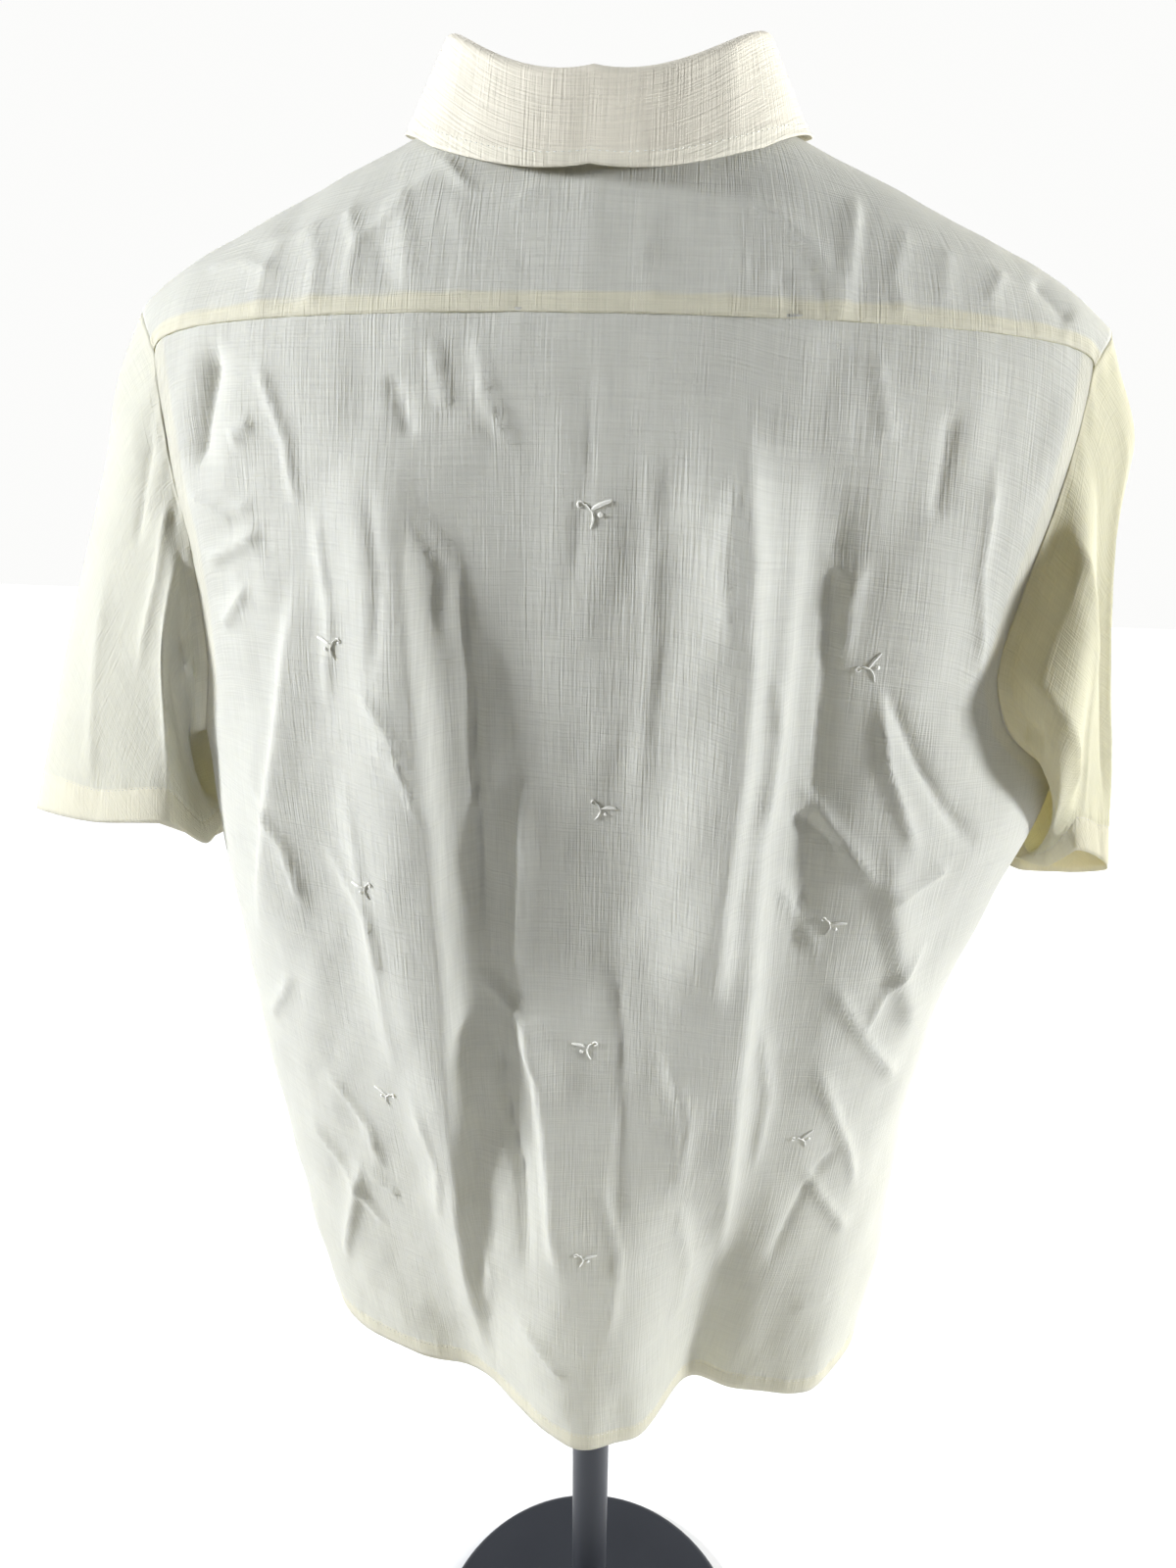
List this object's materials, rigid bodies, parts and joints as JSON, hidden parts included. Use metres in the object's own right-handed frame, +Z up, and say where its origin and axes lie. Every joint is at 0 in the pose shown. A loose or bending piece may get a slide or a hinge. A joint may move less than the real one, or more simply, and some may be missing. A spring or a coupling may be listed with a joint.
{
  "type": "camp shirt on a dress form",
  "caption": "Short-sleeved camp shirt of pale ivory voile with a folded collar, back yoke and small embroidered sprigs, on a limbless dress form with a dark pole and round base",
  "frame": {"origin": "centre of the round base on the floor, on the pole axis", "axes": "+Z up, +Y the garment back, +X the wearer left"},
  "size_m": [0.6258, 0.266, 1.204],
  "materials": {
    "voile": "thin matt voile, plain weave",
    "collar_voile": "doubled matt voile, a little warmer",
    "button": "polished pale plastic",
    "form_shell": "smooth matt shell",
    "dark_paint": "dark satin paint"
  },
  "bodies": {
    "root": {"back_panel": "voile", "back_yoke": "voile", "left_front": "voile", "right_front": "voile", "left_sleeve": "voile", "right_sleeve": "voile", "collar": "collar_voile", "left_lapel": "voile", "right_lapel": "voile", "button_1": "button", "button_2": "button", "button_3": "button", "button_4": "button", "button_5": "button", "form_torso": "form_shell", "stand_pole": "dark_paint", "stand_base": "dark_paint"}
  },
  "joints": []
}
